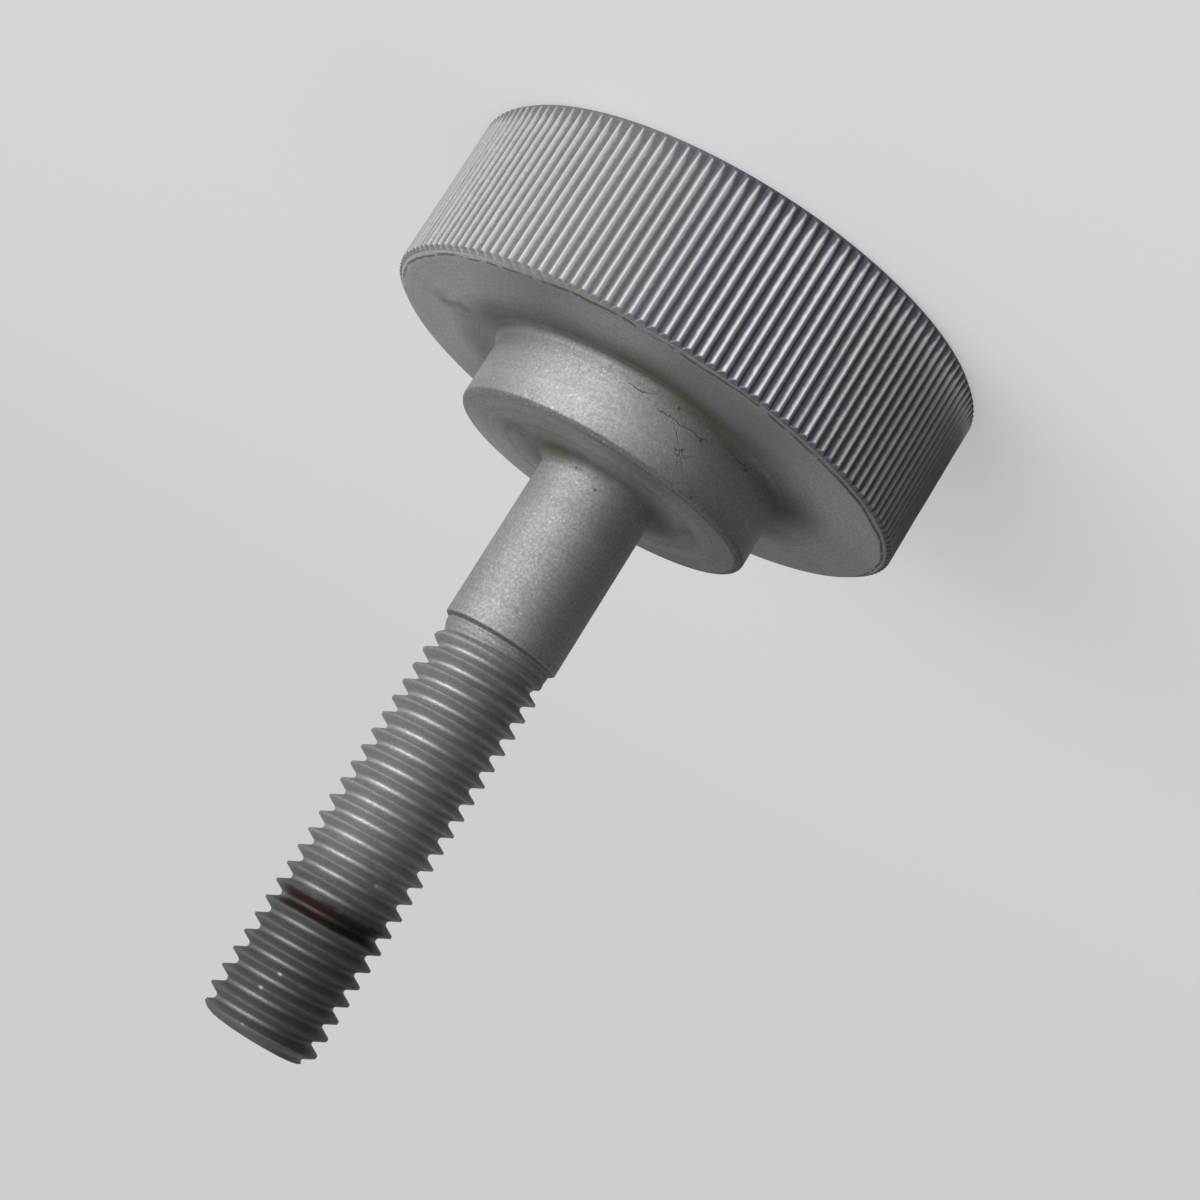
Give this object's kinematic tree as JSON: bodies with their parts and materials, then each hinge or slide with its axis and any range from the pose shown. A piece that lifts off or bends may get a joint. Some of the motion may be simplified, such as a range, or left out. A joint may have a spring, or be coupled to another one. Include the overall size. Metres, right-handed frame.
{
  "type": "thumb screw",
  "caption": "Thumb screw with a wide straight-knurled head, a round boss under it, a plain shank and a right-hand threaded end.",
  "frame": {"origin": "centre of the head's flat outer face, which the screw stands on", "axes": "+Z along the screw's axis, from the head towards the threaded tip"},
  "size_m": [0.046, 0.046, 0.0703],
  "materials": {
    "blasted_steel": "bead-blasted, matt"
  },
  "bodies": {
    "root": {"thumb_screw": "blasted_steel"}
  },
  "joints": []
}
